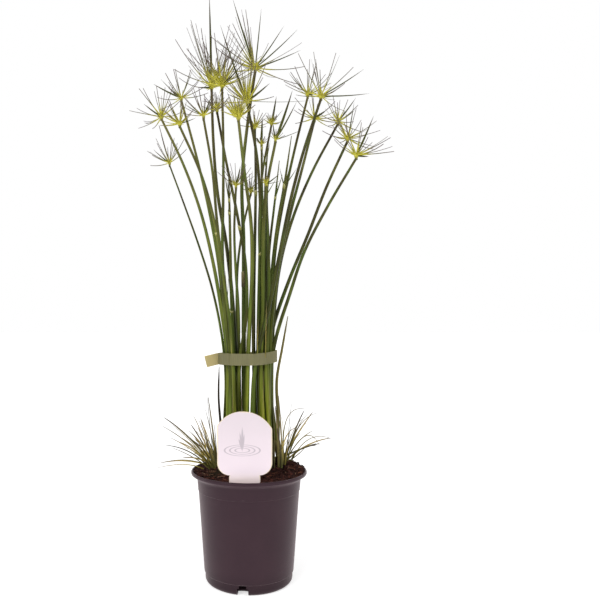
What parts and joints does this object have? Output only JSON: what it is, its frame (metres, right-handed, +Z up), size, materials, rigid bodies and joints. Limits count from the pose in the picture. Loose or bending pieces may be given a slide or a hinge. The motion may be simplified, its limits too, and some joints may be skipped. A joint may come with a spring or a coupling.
{
  "type": "potted papyrus plant",
  "caption": "Nursery pot of peat with a tied bundle of tall bare culms, each topped by a spray of thin rays, leaf tufts at the base and a blank-faced plant tag.",
  "frame": {"origin": "centre of the pot's foot, on the surface the pot stands on", "axes": "+Z up along the pot's axis, -Y towards the front where the plant tag is, +X to the right as seen from the front"},
  "size_m": [0.295, 0.1703, 0.669],
  "materials": {
    "pot": "satin injection-moulded polypropylene, dark brownish grey",
    "soil": "moist fibrous peat",
    "label": "satin printed polystyrene sheet",
    "tape": "translucent olive tape",
    "culm": "smooth waxy green skin",
    "young_culm": "smooth waxy fresh green skin",
    "umbel": "thin dry-edged green rays",
    "leaf": "matte leaf blade",
    "dry_leaf": "dry leaf blade"
  },
  "bodies": {
    "root": {"pot": "pot", "soil": "soil", "plant_label": "label", "tie_band": "tape", "stem_01": "culm", "stem_02": "culm", "stem_03": "culm", "stem_04": "culm", "stem_05": "culm", "stem_06": "culm", "stem_07": "culm", "stem_08": "culm", "stem_09": "young_culm", "stem_10": "culm", "stem_11": "culm", "stem_12": "culm", "stem_13": "culm", "stem_14": "culm", "stem_15": "culm", "stem_16": "culm", "stem_17": "culm", "stem_18": "young_culm", "stem_19": "culm", "stem_20": "young_culm", "stem_21": "young_culm", "stem_22": "young_culm", "stem_23": "culm", "stem_24": "culm", "stem_25": "culm", "stem_26": "culm", "stem_27": "culm", "stem_28": "culm", "umbel_01": "umbel", "umbel_02": "umbel", "umbel_03": "umbel", "umbel_04": "umbel", "umbel_05": "umbel", "umbel_06": "umbel", "umbel_07": "umbel", "umbel_08": "umbel", "umbel_10": "umbel", "umbel_11": "umbel", "umbel_12": "umbel", "umbel_13": "umbel", "umbel_14": "umbel", "umbel_15": "umbel", "umbel_16": "umbel", "umbel_17": "umbel", "umbel_19": "umbel", "umbel_20": "umbel", "umbel_23": "umbel", "umbel_24": "umbel", "umbel_25": "umbel", "umbel_26": "umbel", "umbel_27": "umbel", "umbel_28": "umbel", "leaf_tuft_left": "leaf", "leaf_tuft_right": "leaf", "dry_leaf_left": "dry_leaf", "young_leaf_right": "leaf"}
  },
  "joints": []
}
